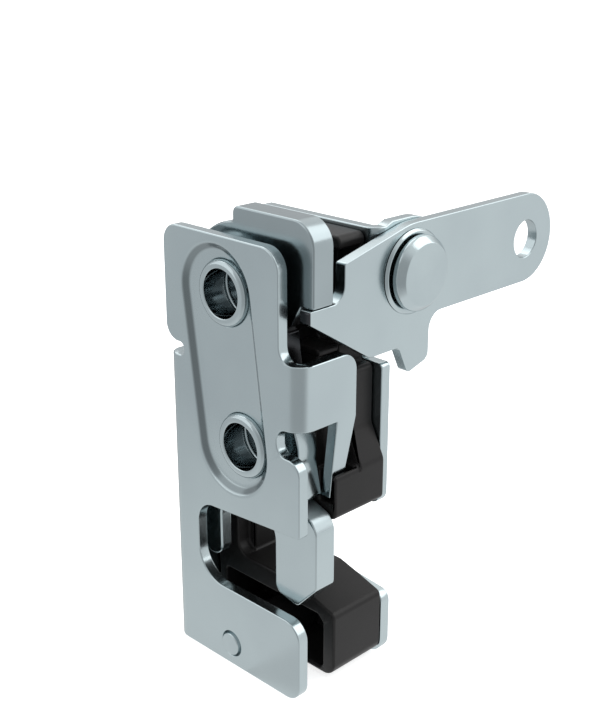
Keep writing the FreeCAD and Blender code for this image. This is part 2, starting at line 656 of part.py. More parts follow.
def makeBackPlate():
    plate = newPiece("back_plate")
    left = "sheetThickness + seatGap - leftReach"
    slab(plate, "Sheet", [
        (left, "topReach"),
        (left, "-bottomReach"),
        ("rightReach", "-bottomReach", "footRound"),
        *mouthCorners("rightReach", "backMouthBottom", "backLowerLipRound", ("backRight", "backLipRound")),
        ("backRight", "backShoulder", "backNeckRound"),
        ("backNeck", "backShoulder", "backNeckRound"),
        ("backNeck", "flangeBottom"),
        ("flangeFace", "flangeBottom"),
        ("flangeFace", "topReach"),
    ], "backSheetFront", "housingDepth")

    # The flange for the lever is bent back from the sheet.
    flangeInside = "flangeFace - sheetThickness"
    sidePlate(plate, "Flange", [
        ("backSheetFront", "flangeBottom"),
        ("housingDepth + flangeRiseEnd", "flangeBottom"),
        ("housingDepth + flangeRiseEnd", "topReach"),
        ("backSheetFront", "topReach"),
    ], flangeInside, "flangeFace")
    flangeEnds = ("flangeBottom", "topReach")
    roundEdges(plate, "FlangeBend", "flangeBendRound", uprightAt("flangeFace", "backSheetFront", *flangeEnds))
    roundEdges(plate, "FlangeBendInside", "flangeBendRound - sheetThickness",
               uprightAt(flangeInside, "housingDepth", *flangeEnds))
    bendEnd = "backSheetFront + flangeBendRound"
    sidePlate(plate, "FlangeEnd", [
        (bendEnd, "flangeBottom"),
        ("housingDepth + flangeBehind", "flangeBottom", "flangeRound"),
        ("housingDepth + flangeBehind", "topReach + flangeRise", "flangeRound"),
        ("housingDepth + flangeRiseEnd", "topReach + flangeRise"),
        (bendEnd, "topReach"),
    ], flangeInside, "flangeFace")

    seat = "bushDiameter / 2 + pressedFit"
    cutDisc(plate, "RotorBushHole", "0", "0", seat, "backSheetFront", "housingDepth")
    cutDisc(plate, "PawlBushHole", "-pawlLeft", "pawlHeight", seat, "backSheetFront", "housingDepth")
    cutFootHole(plate, "backSheetFront", "housingDepth")
    rivetHole = newSketch(plate, "RivetHoleCircle", "YZ_Plane", "flangeFace")
    addCircle(rivetHole, "leverAxisDepth", "leverAxisHeight", "leverRivetDiameter / 2 + pressedFit")
    pocket(plate, "RivetHole", rivetHole, "sheetThickness")
    return plate


def makeFrontBush(name, left, height):
    bush = newPiece(name, left, "0", height)
    bore = "boreDiameter / 2"
    sleeve = "bushDiameter / 2"
    turned(bush, "Turning", [
        ("0", f"{bore} + bushChamfer"),
        ("bushChamfer", bore),
        ("bushJoint", bore),
        ("bushJoint", sleeve),
        ("bushRimChamfer", sleeve),
        ("0", f"{sleeve} - bushRimChamfer"),
    ], "Y_Axis")
    return bush


def makeRearBush(name, left, height):
    bush = newPiece(name, left, "0", height)
    start = "bushJoint + bushJointGap"
    shoulder = "moverBack + seatGap"
    bore = "boreDiameter / 2"
    sleeve = "bushDiameter / 2"
    thick = "bushShoulderDiameter / 2"
    turned(bush, "Turning", [
        (start, f"{bore} + bushChamfer"),
        (f"{start} + bushChamfer", bore),
        ("housingDepth - bushChamfer", bore),
        ("housingDepth", f"{bore} + bushChamfer"),
        ("housingDepth", sleeve),
        ("backSheetFront", sleeve),
        ("backSheetFront", thick),
        (shoulder, thick),
        (shoulder, sleeve),
        (start, sleeve),
    ], "Y_Axis")
    return bush


def makeRotor():
    rotor = newPiece("rotor")
    disc(rotor, "RoundBack", "0", "0", "rotorRadius", "moverFront", "moverBack")

    # The finger and the inner lobe stand either side of the striker slot.
    slab(rotor, "Claw", [
        ("-lobeLeft", "-lobeShoulder", "lobeShoulderRound"),
        ("-lobeLeft", "-lobeBottom", "lobeRound"),
        ("-lobeRight", "-lobeBottom", "lobeRound"),
        ("-lobeRight", "-slotCrotch", "slotRound"),
        ("fingerLeft", "-slotCrotch", "slotRound"),
        ("fingerLeft", "-fingerBottom", "fingerInnerRound"),
        ("fingerTipRight", "-fingerTip", "fingerCornerRound"),
        ("fingerRight", "-fingerChamferTop", "fingerCornerRound"),
        ("fingerRight", "-fingerShoulder", "fingerShoulderRound"),
        ("fingerRootRight", "-fingerRoot"),
        ("fingerRootRight", "-cheekMiddle"),
        ("0", "0"),
        ("-rotorRadius", "0"),
    ], "moverFront", "moverBack")

    # The cheek over the safety notch, and the tooth that the pawl catches.
    slab(rotor, "Cheek", [
        ("0", "cheekTop"),
        ("0", "-cheekMiddle"),
        ("fingerRootRight - cheekRound", "cheekRound - cheekBottom"),
        ("cheekRight", "-cheekBottom", "cheekRound"),
        ("cheekMiddleRight", "-cheekMiddle"),
        ("cheekTopRight", "cheekTop"),
    ], "moverFront", "moverBack")
    inner = "(2 * rotorRadius - toothRadius)"
    slab(rotor, "Tooth", [
        ("0", "0"),
        (f"{inner} * cos(toothStart)", f"{inner} * sin(toothStart)"),
        ("toothRadius * cos(toothStart + toothSlope)", "toothRadius * sin(toothStart + toothSlope)"),
        ("toothRadius * cos(toothEnd - toothSlope)", "toothRadius * sin(toothEnd - toothSlope)"),
        (f"{inner} * cos(toothEnd)", f"{inner} * sin(toothEnd)"),
    ], "moverFront", "moverBack")

    cutSlab(rotor, "LobeThinning", [
        ("-lobeLeft - runout", "-lobeStep"),
        ("-lobeLeft - runout", "-lobeBottom - runout"),
        ("runout - lobeRight", "-lobeBottom - runout"),
        ("runout - lobeRight", "-lobeStep"),
    ], "moverFront + lobeThickness", "moverBack")
    cutDisc(rotor, "Bore", "0", "0", "bushDiameter / 2 + runningFit", "moverFront", "moverBack")
    return rotor


def makePawl():
    pawl = newPiece("pawl", "pawlLeft", "0", "pawlHeight")
    disc(pawl, "Hub", "0", "0", "hubRadius", "moverFront", "moverBack")
    slab(pawl, "UpperArm", [
        ("-armLeft", "armTop", "armEndRound"),
        ("-armLeft", "0"),
        ("armRootRight", "-armRootDrop"),
        ("neckRight", "-neckDrop", "noseRound"),
        ("noseLeft", "noseBottom", "noseRound"),
        ("noseRight", "noseBottom", "noseRound"),
        ("noseRight", "armTop", "noseShoulderRound"),
    ], "moverFront", "moverBack")
    slab(pawl, "LowerArm", [
        ("0", "0"),
        ("0", "-armRootDrop"),
        ("catchBack", "catchBackHeight - pawlHeight", "catchRound"),
        ("catchInner", "catchTipHeight - pawlHeight", "catchRound"),
        ("catchOuter", "catchHeight - pawlHeight", "catchRound"),
        ("armRootDrop", "0"),
    ], "moverFront", "moverBack")
    cutDisc(pawl, "Bore", "0", "0", "bushDiameter / 2 + runningFit", "moverFront", "moverBack")
    return pawl


def makeLever():
    lever = newPiece("lever", "0", "leverAxisDepth", "leverAxisHeight")
    inner = "flangeFace + seatGap"
    outer = f"{inner} + sheetThickness"
    shortArm = "shortArmFront - leverAxisDepth"
    slant = "moverBack + slantGap - leverAxisDepth"
    reach = "leverReach - leverAxisDepth"
    sidePlate(lever, "Sheet", [
        (shortArm, "-shortArmDrop", "shortArmRound"),
        ("bellyDepth - leverAxisDepth", "-bellyDrop", "bellyRound"),
        ("-hookRoot", "-bellyDrop", "hookRound"),
        ("-hookTipFront", "-hookDrop", "hookRound"),
        ("hookBack", "-hookBackDrop", "hookBackRound"),
        ("hookBack", "-leverArmDrop", "hookRootRound"),
        (reach, "-leverArmDrop", "leverEndRound"),
        (reach, "leverArmRise", "leverEndRound"),
        ("-slantTopFront", "leverArmRise", "slantRound"),
        (slant, "slantRise", "shortArmRound"),
        (slant, "-ledgeDrop", "ledgeRound"),
        (shortArm, "-ledgeDrop", "shortArmRound"),
    ], inner, outer)
    holes = newSketch(lever, "HoleCircles", "YZ_Plane", outer)
    addCircle(holes, "0", "0", "leverRivetDiameter / 2 + runningFit")
    addCircle(holes, f"{reach} - eyeInset", "-eyeDrop", "eyeDiameter / 2")
    pocket(lever, "Holes", holes, "sheetThickness")
    return lever


def makeLeverRivet():
    rivet = newPiece("lever_rivet", "0", "leverAxisDepth", "leverAxisHeight")
    tail = "flangeFace - sheetThickness"
    seat = "washerFace + washerThickness + seatGap"
    rim = f"{seat} + washerGap"
    top = f"{rim} + leverRivetHead"
    turned(rivet, "Turning", [
        (f"{tail} - leverRivetTail", "0"),
        (top, "0"),
        (top, "leverRivetHeadDiameter / 2 - leverRivetHeadChamfer"),
        (f"{top} - leverRivetHeadChamfer", "leverRivetHeadDiameter / 2"),
        (rim, "leverRivetHeadDiameter / 2"),
        (rim, "headSeatDiameter / 2"),
        (seat, "headSeatDiameter / 2"),
        (seat, "leverRivetDiameter / 2"),
        (tail, "leverRivetDiameter / 2"),
        (tail, "leverRivetTailDiameter / 2"),
        (f"{tail} + leverRivetTailChamfer - leverRivetTail", "leverRivetTailDiameter / 2"),
        (f"{tail} - leverRivetTail", "leverRivetTailDiameter / 2 - leverRivetTailChamfer"),
    ], "X_Axis")
    return rivet


def makeLeverWasher():
    washer = newPiece("lever_washer", "0", "leverAxisDepth", "leverAxisHeight")
    hole = "leverRivetDiameter / 2 + pressedFit"
    turned(washer, "Turning", [
        ("washerFace", hole),
        ("washerFace + washerThickness", hole),
        ("washerFace + washerThickness", "washerDiameter / 2 - washerSlope"),
        ("washerFace", "washerDiameter / 2"),
    ], "X_Axis")
    return washer


def makeLowerRivet():
    rivet = newPiece("lower_rivet", "footRivetLeft", "0", "-footRivetDrop")
    turned(rivet, "Turning", [
        ("-footRivetProud", "0"),
        ("housingDepth + footRivetProud", "0"),
        ("housingDepth + footRivetProud", "footRivetDiameter / 2 - footRivetChamfer"),
        ("housingDepth + footRivetProud - footRivetChamfer", "footRivetDiameter / 2"),
        ("backSheetFront", "footRivetDiameter / 2"),
        ("backSheetFront", "footRivetShank / 2"),
        ("sheetThickness", "footRivetShank / 2"),
        ("sheetThickness", "footRivetDiameter / 2"),
        ("footRivetChamfer - footRivetProud", "footRivetDiameter / 2"),
        ("-footRivetProud", "footRivetDiameter / 2 - footRivetChamfer"),
    ], "Y_Axis")
    return rivet


def makeSpacer():
    spacer = newPiece("spacer_body")
    left = "sheetThickness + 2 * seatGap - leftReach"
    back = "backSheetFront - seatGap"
    foot = [
        (left, "-spacerBottom"),
        ("spacerRight", "-spacerBottom", "channelRound"),
        ("spacerRight", "-channelBottomLip", "channelLipRound"),
        ("channelKnee", "-channelKneeDrop", "channelRound"),
        ("channelMouth", "-channelBottom", "channelRound"),
        ("-channelReach", "-channelBottom", "channelRound"),
        ("-channelReach", "-channelTop", "channelRound"),
        ("channelMouth", "-channelTop", "channelRound"),
        ("spacerRight", "-channelTopLip", "channelLipRound"),
    ]
    slab(spacer, "BackHalf", [
        (left, "spacerTop"),
        *foot,
        ("spacerRight", "-postFlare", "postRound"),
        ("postRight", "postFoot", "postRound"),
        ("postRight", "postTop", "bridgeRound"),
        ("spacerTopRight", "postTop"),
        ("spacerTopRight", "spacerTop"),
    ], "spacerStep", back)
    slab(spacer, "FrontHalf", [
        (left, "bridgeTop"),
        *foot,
        ("spacerRight", "-blockTop", "channelLipRound"),
        ("blockInner", "-blockTop"),
        ("blockInner", "bridgeTop / 2", "postRound"),
        ("bridgeRight", "bridgeTop", "bridgeRound"),
    ], "spacerFront", "spacerStep")
    slab(spacer, "LeftWall", [
        (left, "spacerTop - spacerWallDrop"),
        (left, "0"),
        (f"{left} + spacerWall", "0"),
        (f"{left} + spacerWall", "spacerTop - spacerWallDrop"),
    ], "spacerFront", "spacerStep")
    slab(spacer, "Buffer", [
        ("-channelReach - channelRound", "-channelTop"),
        ("-channelReach - channelRound", "-channelBottom"),
        ("-bufferReach", "-channelBottom"),
        ("-bufferReach", "-channelTop"),
    ], "bufferFront", back)

    # The upper part is cored beside the pawl's bush.
    cutSlab(spacer, "TopCore", [
        ("topCoreLeft", "spacerTop - topCoreRoof", "topCoreRound"),
        ("topCoreLeft", "topCoreFloor", "topCoreRound"),
        ("spacerTopRight + runout", "topCoreFloor"),
        ("spacerTopRight + runout", "spacerTop - topCoreRoof"),
    ], "spacerStep", "topCoreBack")
    side, top = number("spacerTopRight"), number("spacerTop")
    roundEdges(spacer, "TopEdgeRound", "spacerTopEdgeRound",
               lambda box: near(box.XMin, side) and near(box.XMax, side)
               and near(box.ZMin, top) and near(box.ZMax, top))

    # Rooms for the springs, the bushes, the leg and the foot rivet.
    bushRoom = "bushShoulderDiameter / 2 + boltRoom"
    cutDisc(spacer, "SpringRoom", "0", "0", "springRoom", "spacerFront", "spacerStep")
    cutSlab(spacer, "SpringLegRoom", [
        ("-springRoom", "0"),
        ("springRoom", "0"),
        ("springRoom", "firstLegLength + wireDiameter", "wireDiameter"),
        ("-springRoom", "firstLegLength + wireDiameter", "wireDiameter"),
    ], "spacerFront", "spacerStep")
    cutDisc(spacer, "RotorBushHole", "0", "0", bushRoom, "spacerStep", back)
    cutDisc(spacer, "PawlBushHole", "-pawlLeft", "pawlHeight", bushRoom, "spacerStep", back)
    legRoom = newSketch(spacer, "LegRoomOutline", "XY_Plane", "-blockTop")
    addOutline(legRoom, [
        ("legRoomInner", "spacerFront - runout"),
        ("spacerRight - legRoomWall", "spacerFront - runout"),
        ("spacerRight - legRoomWall", "legRoomBack"),
        ("legRoomInner", "legRoomBack"),
    ])
    pocket(spacer, "LegRoom", legRoom, "legRoomDepth")
    cutSlab(spacer, "FootCore", [
        ("-coreLeft", "-coreTop", "coreRound"),
        ("-coreLeft", "coreFloor - spacerBottom", "coreRound"),
        ("spacerRight - coreWall", "coreFloor - spacerBottom", "coreRound"),
        ("spacerRight - coreWall", "-coreTop - coreChamfer", "coreRound"),
        ("spacerRight - coreWall - coreChamfer", "-coreTop", "coreRound"),
    ], "spacerFront", "coreBack")
    disc(spacer, "FootBoss", "-footRivetLeft", "-footRivetDrop", "coreBoss", "spacerFront", back)
    cutDisc(spacer, "FootHole", "-footRivetLeft", "-footRivetDrop",
            "footRivetShank / 2 + boltRoom", "spacerFront", back)
    return spacer


def wireCorners(x, y):
    # The wire's section, with a flat to the left and to the right.
    sides = round(number("wireSides"))
    turns = [360 * (step + 0.5) / sides for step in range(sides)]
    return [
        (f"{x} + wireDiameter / 2 * cos({turn})", f"{y} + wireDiameter / 2 * sin({turn})")
        for turn in turns
    ]


def makeSpring(name, left, height):
    # A torsion spring: a coil round the bush and a straight leg at each end.
    spring = newPiece(name, left, "0", height)
    wire = newSketch(spring, "WireSection", "XY_Plane")
    addOutline(wire, wireCorners("coilRadius", "coilDepth"))
    doc.recompute()
    coil = spring.newObject("PartDesign::AdditiveHelix", "Coil")
    coil.Profile = wire
    coil.ReferenceAxis = (originPart(spring, "Y_Axis"), [""])
    coil.Mode = "pitch-turns-angle"
    coil.setExpression("Pitch", bound("coilPitch"))
    coil.setExpression("Turns", bound("coilTurns"))
    firstLeg = newSketch(spring, "FirstLegSection", "XY_Plane")
    addOutline(firstLeg, wireCorners("coilRadius", "coilDepth"))
    pad(spring, "FirstLeg", firstLeg, "firstLegLength", False)
    lastLeg = newSketch(spring, "LastLegSection", "XY_Plane")
    addOutline(lastLeg, wireCorners("-coilRadius", "coilEnd"))
    pad(spring, "LastLeg", lastLeg, "lastLegLength", False)
    return spring


pieces = [
    makeFrontPlate(),
    makeBackPlate(),
    makeSpacer(),
    makeRotor(),
    makePawl(),
    makeLever(),
    makeLeverRivet(),
    makeLeverWasher(),
    makeLowerRivet(),
    makeFrontBush("rotor_bush_front", "0", "0"),
    makeRearBush("rotor_bush_rear", "0", "0"),
    makeFrontBush("pawl_bush_front", "pawlLeft", "pawlHeight"),
    makeRearBush("pawl_bush_rear", "pawlLeft", "pawlHeight"),
    makeSpring("rotor_spring", "0", "0"),
    makeSpring("pawl_spring", "pawlLeft", "pawlHeight"),
]
doc.recompute()

for thing in doc.Objects:
    if "Invalid" in thing.State or "Error" in thing.State:
        raise RuntimeError(f"{thing.Label}: {thing.State}")
os.makedirs("parts", exist_ok=True)
for piece in pieces:
    if piece.Shape.isNull() or not piece.Shape.isValid():
        raise RuntimeError(f"{piece.Label} has no valid shape")
    print(piece.Label, len(piece.Shape.Solids), round(piece.Shape.Volume, 1))
    piece.Shape.exportStep(f"parts/{piece.Label}.step")
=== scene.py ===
import math

import bmesh
import bpy
from mathutils import Matrix, Vector
from mathutils.bvhtree import BVHTree


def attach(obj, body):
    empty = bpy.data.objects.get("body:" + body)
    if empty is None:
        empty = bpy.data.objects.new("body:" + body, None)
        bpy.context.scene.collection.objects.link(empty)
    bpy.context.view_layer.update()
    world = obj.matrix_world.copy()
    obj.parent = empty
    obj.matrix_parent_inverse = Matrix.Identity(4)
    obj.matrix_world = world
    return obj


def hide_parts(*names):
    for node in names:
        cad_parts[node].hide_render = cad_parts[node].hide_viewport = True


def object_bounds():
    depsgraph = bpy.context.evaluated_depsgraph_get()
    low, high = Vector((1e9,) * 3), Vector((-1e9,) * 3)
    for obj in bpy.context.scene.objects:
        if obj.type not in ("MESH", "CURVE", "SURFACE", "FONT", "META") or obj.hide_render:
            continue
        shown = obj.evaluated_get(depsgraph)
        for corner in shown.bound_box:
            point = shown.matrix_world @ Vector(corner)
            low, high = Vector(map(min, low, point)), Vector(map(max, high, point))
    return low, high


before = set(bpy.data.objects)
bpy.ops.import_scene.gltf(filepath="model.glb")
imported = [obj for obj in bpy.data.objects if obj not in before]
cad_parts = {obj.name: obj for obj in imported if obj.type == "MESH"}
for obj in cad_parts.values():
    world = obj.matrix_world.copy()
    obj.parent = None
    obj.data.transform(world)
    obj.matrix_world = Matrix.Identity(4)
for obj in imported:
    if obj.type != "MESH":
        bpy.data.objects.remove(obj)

mm = 0.001
mergeDistance = 0.001 * mm
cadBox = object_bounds()
bpy.context.scene.view_settings.view_transform = "Standard"
print("frame loaded:", len(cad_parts), "nodes")


class Wire:
    # one output socket, with the arithmetic that the materials use
    def __init__(self, graph, socket):
        self.graph = graph
        self.socket = socket

    def math(self, operation, other):
        return self.graph.add("ShaderNodeMath", {"operation": operation}, {0: self, 1: other})

    def reversed(self, operation, first):
        return self.graph.add("ShaderNodeMath", {"operation": operation}, {0: first, 1: self})

    def __add__(self, other):
        return self.math("ADD", other)

    def __radd__(self, other):
        return self.math("ADD", other)

    def __sub__(self, other):
        return self.math("SUBTRACT", other)

    def __rsub__(self, other):
        return self.reversed("SUBTRACT", other)

    def __mul__(self, other):
        return self.math("MULTIPLY", other)

    def __rmul__(self, other):
        return self.math("MULTIPLY", other)

    def above(self, level, width):
        # 0 below the level, 1 above it, with a soft step of this width
        settings = {"interpolation_type": "SMOOTHSTEP"}
        inputs = {"Value": self, "From Min": level - width / 2, "From Max": level + width / 2}
        return self.graph.add("ShaderNodeMapRange", settings, inputs)


class Graph:
    # the node tree of one material or of the world
    def __init__(self, tree, outputKind="ShaderNodeOutputMaterial"):
        self.tree = tree
        self.outputKind = outputKind
        tree.nodes.clear()

    def add(self, kind, settings=None, inputs=None, output=0):
        node = self.tree.nodes.new(kind)
        for name, value in (settings or {}).items():
            setattr(node, name, value)
        for name, value in (inputs or {}).items():
            if isinstance(value, Wire):
                self.tree.links.new(value.socket, node.inputs[name])
            else:
                node.inputs[name].default_value = value
        return Wire(self, node.outputs[output]) if node.outputs else node

    def place(self):
        return self.add("ShaderNodeTexCoord", output="Object")

    def noise(self, scale, detail, roughness):
        inputs = {"Scale": scale, "Detail": detail, "Roughness": roughness, "Vector": self.place()}
        return self.add("ShaderNodeTexNoise", None, inputs)

    def mix(self, factor, first, second):
        inputs = {0: factor, 6: first, 7: second}
        return self.add("ShaderNodeMix", {"data_type": "RGBA"}, inputs, output=2)

    def bump(self, height, strength, distance):
        inputs = {"Height": height, "Strength": strength, "Distance": distance}
        return self.add("ShaderNodeBump", None, inputs)

    def vector(self, operation, *values, output=0):
        settings = {"operation": operation}
        return self.add("ShaderNodeVectorMath", settings, dict(enumerate(values)), output)

    def along(self, direction, axis):
        return self.vector("DOT_PRODUCT", direction, axis, output=1)

    def reach(self, axis):
        # place along the axis in mm
        return self.along(self.place(), [part / mm for part in axis])

    def facing(self, axis):
        # 1 where the surface looks along the axis
        return self.along(self.add("ShaderNodeTexCoord", output="Normal"), axis)

    def end(self, shader):
        self.add(self.outputKind, None, {"Surface": shader})


def newMaterial(name):
    material = bpy.data.materials.new(name)
    material.use_nodes = True
    return material, Graph(material.node_tree)


noiseMiddle = 0.5  # mean value of the noise textures
cloudStep = (noiseMiddle, 0.5)
grainHeight = 0.1 * mm
black = (0, 0, 0, 1)
white = (1, 1, 1, 1)

# Zinc plate: a soft grey blue metal, a little cloudy, with a fine grain.
# Each noise is (scale, detail, roughness), each step (level, width).
platedLook = {
    "light": (0.465, 0.535, 0.550, 1),
    "dark": (0.425, 0.490, 0.508, 1),
    "cloud": (45.0, 3.0, 0.55),
    "grain": (1300.0, 2.0, 0.60),
    "roughness": 0.20,
    "cloudRoughness": 0.05,
    "grainRoughness": 0.04,
    "grainDepth": 0.04,
}


def makePlated(name, look):
    material, graph = newMaterial(name)
    cloud = graph.noise(*look["cloud"])
    grain = graph.noise(*look["grain"])
    colour = graph.mix(cloud.above(*cloudStep), look["dark"], look["light"])
    roughness = look["roughness"] + (cloud - noiseMiddle) * look["cloudRoughness"]
    roughness = roughness + (grain - noiseMiddle) * look["grainRoughness"]
    if "sheared" in look:  # the rim's faces that look up are rougher
        sheared = look["sheared"]
        roughness = roughness + graph.facing((0, 0, 1)).above(*sheared["step"]) * sheared["roughness"]
    if "pressed" in look:  # painted shade: the recess wall is a shade darker, for the shade in the recess
        pressed = look["pressed"]
        depth = graph.reach((0, 1, 0))
        wall = depth.above(*pressed["start"]) * (1 - depth.above(*pressed["end"]))
        wall = wall * graph.facing((0, -1, 0)).above(*pressed["facing"])
        wall = wall * (1 - graph.reach((1, 0, 0)).above(*pressed["right"]))
        colour = graph.mix(wall, colour, pressed["colour"])
    if "lowerArmShade" in look:  # painted shade: the lower arm is dark, for the dark moulding it faces
        height = graph.reach((0, 0, 1))
        colour = graph.mix(height.above(*look["lowerArmShade"]["top"]), look["lowerArmShade"]["colour"], colour)
    if "tipShade" in look:  # painted shade: the tip under the pawl's nose is dark, for the dark plate and pawl it reflects
        depth = graph.reach((0, 1, 0))
        colour = graph.mix(depth.above(*look["tipShade"]["end"]), look["tipShade"]["colour"], colour)
    graph.end(graph.add("ShaderNodeBsdfPrincipled", None, {
        "Base Color": colour,
        "Metallic": 1.0,
        "Roughness": roughness,
        "Normal": graph.bump(grain, look["grainDepth"], grainHeight),
    }))
    return material


mouldingLook = {
    "light": (0.017, 0.016, 0.016, 1),
    "dark": (0.010, 0.0095, 0.0095, 1),
    "cloud": (60.0, 3.0, 0.50),
    "grain": (2200.0, 2.0, 0.50),
    "roughness": 0.38,
    "grainRoughness": 0.12,
    "grainDepth": 0.10,
    "specular": 0.22,
}


def makeMoulding(name, look):
    material, graph = newMaterial(name)
    cloud = graph.noise(*look["cloud"])
    grain = graph.noise(*look["grain"])
    graph.end(graph.add("ShaderNodeBsdfPrincipled", None, {
        "Base Color": graph.mix(cloud.above(*cloudStep), look["dark"], look["light"]),
        "Roughness": look["roughness"] + (grain - noiseMiddle) * look["grainRoughness"],
        "Specular IOR Level": look["specular"],
        "Normal": graph.bump(grain, look["grainDepth"], grainHeight),
    }))
    return material


platedSheet = makePlated("platedSheet", platedLook)
# Front plate: with painted shade on the wall of its recess.
platedRecessShaded = makePlated("platedRecessShaded", {
    **platedLook,
    "pressed": {
        "colour": (0.21, 0.245, 0.255, 1),
        "start": (0.22, 0.30),
        "end": (0.95, 0.25),
        "facing": (0.50, 0.30),
        "right": (8.0, 1.0),  # the tab's bend beyond it keeps its tone
    },
})
platedClaw = makePlated("platedClaw", {
    **platedLook, "roughness": 0.18, "sheared": {"step": (0.35, 0.30), "roughness": 0.25},
})
# Pawl: a darker plate, with painted shade on its lower arm.
platedPawl = makePlated("platedPawl", {
    **platedLook,
    "light": (0.355, 0.410, 0.425, 1),
    "dark": (0.320, 0.370, 0.385, 1),
    "lowerArmShade": {"top": (23.6, 0.8), "colour": (0.045, 0.047, 0.050, 1)},
})
# Lever: with painted shade on the tip under the pawl's nose.
platedLever = makePlated("platedLever", {
    **platedLook, "tipShade": {"end": (3.45, 0.30), "colour": (0.045, 0.048, 0.052, 1)},
})
platedTurned = makePlated("platedTurned", {
    **platedLook, "roughness": 0.16, "cloud": (90.0, 3.0, 0.55),
})
# Bore: a smoother plate, whose darker colour is painted shade in the bore.
platedBore = makePlated("platedBore", {
    **platedLook,
    "light": (0.360, 0.400, 0.412, 1),
    "dark": (0.320, 0.355, 0.368, 1),
    "roughness": 0.10,
    "cloudRoughness": 0.01,
    "grainRoughness": 0.005,
    "grainDepth": 0.002,
})
springWire = makePlated("springWire", {
    **platedLook,
    "light": (0.30, 0.30, 0.31, 1),
    "dark": (0.22, 0.22, 0.23, 1),
    "roughness": 0.28,
})
blackMoulding = makeMoulding("blackMoulding", mouldingLook)
print("materials made")


def placePiece(name, mesh, body):
    mesh.shade_smooth()
    piece = bpy.data.objects.new(name + "Finished", mesh)
    bpy.context.collection.objects.link(piece)
    shading = piece.modifiers.new("shading", "WEIGHTED_NORMAL")  # flat faces stay flat
    shading.mode = "FACE_AREA"
    shading.weight = 100
    shading.keep_sharp = False
    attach(piece, body)
    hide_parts(name)


# Plates, claws and moulding: copies of the plain solids with broken edges, whose width is in mm.
finishes = {
    "front_plate": {
        "body": "housing", "slot": "plated_sheet", "material": platedRecessShaded, "edge": 0.25,
    },
    "back_plate": {
        "body": "housing", "slot": "plated_sheet", "material": platedSheet, "edge": 0.25,
    },
    "lever": {"body": "lever", "slot": "plated_sheet", "material": platedLever, "edge": 0.20},
    "rotor": {"body": "rotor", "slot": "plated_claw", "material": platedClaw, "edge": 0.35},
    "pawl": {"body": "pawl", "slot": "plated_claw", "material": platedPawl, "edge": 0.35},
    "spacer_body": {
        "body": "housing", "slot": "black_moulding", "material": blackMoulding, "edge": 0.45,
    },
}
# Forms that the plain solids lack: the corners inside a box (mm) are moved or scaled.
reshapes = {
    "rotor": [  # the finger's slope
        {"low": (8.0, 3.7, -10.9), "high": (12.2, 8.3, -9.2), "shift": (0, 0, 0.50)},
        {"low": (12.3, 3.7, -10.9), "high": (12.8, 8.3, -10.7), "shift": (0, 0, 0.42)},
        {"low": (12.8, 3.7, -11.1), "high": (13.0, 8.3, -11.0), "shift": (0, 0, 0.26)},
        {"low": (13.0, 3.7, -11.4), "high": (13.2, 8.3, -11.2), "shift": (0, 0, 0.12)},
    ],
    "spacer_body": [  # the foot pocket's wall and the block's underside
        {"low": (10.2, 8.3, -40.1), "high": (11.9, 19.2, -30.6), "shift": (-0.9, 0, 0)},
        {"low": (-2.0, 8.3, -41.1), "high": (13.7, 20.4, -38.4), "shift": (0, 0, -0.75)},
    ],
    "front_plate": [  # the underside of the tooth below the tab
        {"low": (12.0, -0.1, -13.4), "high": (13.8, 2.2, -12.6), "shift": (0, 0, 1.4)},
    ],
    "back_plate": [  # the lip's corner, with half its round
        {
            "low": (9.6, 20.3, -32.6), "high": (13.8, 22.6, -28.4),
            "scale": (0.5, 1, 0.5), "about": (13.7, 0, -31.9),
        },
    ],
}
flatAngle = 0.6  # degrees; faces that turn less are joined
sharpAngle = 28  # degrees; edges that turn less belong to a curved face
edgeSegments = 3
strayShare = 0.5  # a corner farther off the solid than this share of the edge's width is stray


def breakEdges(shape, width):
    solid = BVHTree.FromBMesh(shape)
    sharp = [edge for edge in shape.edges if edge.calc_face_angle(0) > math.radians(sharpAngle)]
    bmesh.ops.bevel(
        shape, geom=sharp, affect="EDGES", offset=width, offset_type="OFFSET",
        segments=edgeSegments, profile=0.5, material=-1, loop_slide=False, clamp_overlap=False,
    )
    for vertex in shape.verts:  # a stray corner goes back to the solid's surface
        nearest, _, _, distance = solid.find_nearest(vertex.co)
        if distance > width * strayShare:
            vertex.co = nearest


# The moulding's shelf behind the tab: opposite corners in mm.
shelf = [((2.0, 9.6, 15.0), (8.3, 14.5, 16.3)), ((2.0, 9.6, 12.7), (8.1, 10.7, 15.2))]


def addBlock(shape, low, high):
    low, high = Vector(low) * mm, Vector(high) * mm
    place = Matrix.Translation((low + high) / 2) @ Matrix.Diagonal((*(high - low), 1))
    bmesh.ops.create_cube(shape, size=1, matrix=place)


def reshape(shape, change):
    inside = [vertex for vertex in shape.verts if all(
        low * mm <= value <= high * mm
        for low, value, high in zip(change["low"], vertex.co, change["high"])
    )]
    if "scale" in change:
        place = Matrix.Translation(Vector(change["about"]) * -mm)
        bmesh.ops.scale(shape, vec=change["scale"], space=place, verts=inside)
    else:
        bmesh.ops.translate(shape, verts=inside, vec=Vector(change["shift"]) * mm)


def finishPiece(name, finish):
    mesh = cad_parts[name].data.copy()
    mesh.name = name + "Finished"
    shape = bmesh.new()
    shape.from_mesh(mesh)
    bmesh.ops.remove_doubles(shape, verts=shape.verts, dist=mergeDistance)
    bmesh.ops.dissolve_limit(
        shape, angle_limit=math.radians(flatAngle), verts=shape.verts, edges=shape.edges,
    )
    for change in reshapes.get(name, ()):
        reshape(shape, change)
    bmesh.ops.connect_verts_concave(shape, faces=shape.faces)
    if name == "spacer_body":
        for low, high in shelf:
            addBlock(shape, low, high)
    breakEdges(shape, finish["edge"] * mm)
    shape.to_mesh(mesh)
    shape.free()
    mesh.materials.clear()
    mesh.materials.append(finish["material"])
    placePiece(name, mesh, finish["body"])


for name, finish in finishes.items():
    finishPiece(name, finish)
print("pieces finished:", len(finishes))


